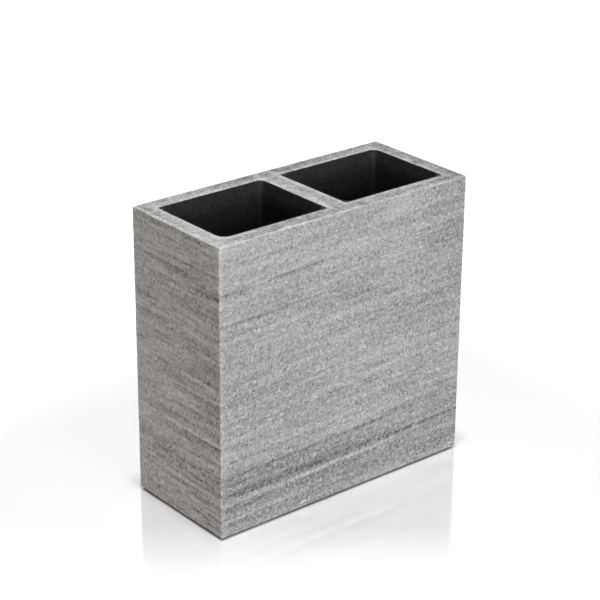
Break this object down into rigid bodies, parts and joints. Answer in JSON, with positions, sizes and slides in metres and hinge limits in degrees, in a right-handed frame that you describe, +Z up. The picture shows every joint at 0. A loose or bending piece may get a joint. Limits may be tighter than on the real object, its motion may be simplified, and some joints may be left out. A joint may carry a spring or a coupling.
{
  "type": "toothbrush holder",
  "caption": "Free-standing rectangular stone block with open pockets side by side in its top, each lined with a lift-out black cup that holds toothbrushes and toothpaste upright.",
  "frame": {"origin": "on the surface that the holder stands on, under the middle of the block", "axes": "+X along the block's width, from the left pocket to the right one; +Y towards the back, so the front is -Y; +Z up"},
  "size_m": [0.108, 0.0474, 0.106],
  "materials": {
    "stone": "unpolished grey sandstone, grainy, with level layers",
    "liner": "matte, fine moulded grain",
    "pad": "matte"
  },
  "bodies": {
    "holder": {"stone_body": "stone", "front_left_pad": "pad", "front_right_pad": "pad", "back_left_pad": "pad", "back_right_pad": "pad"},
    "left_liner": {"left_liner": "liner"},
    "right_liner": {"right_liner": "liner"}
  },
  "joints": [
    {"name": "left_liner_lift", "type": "slide", "parent": "holder", "child": "left_liner", "axis": [0, 0, 1], "range_m": [0, 0.1]},
    {"name": "right_liner_lift", "type": "slide", "parent": "holder", "child": "right_liner", "axis": [0, 0, 1], "range_m": [0, 0.1]}
  ]
}
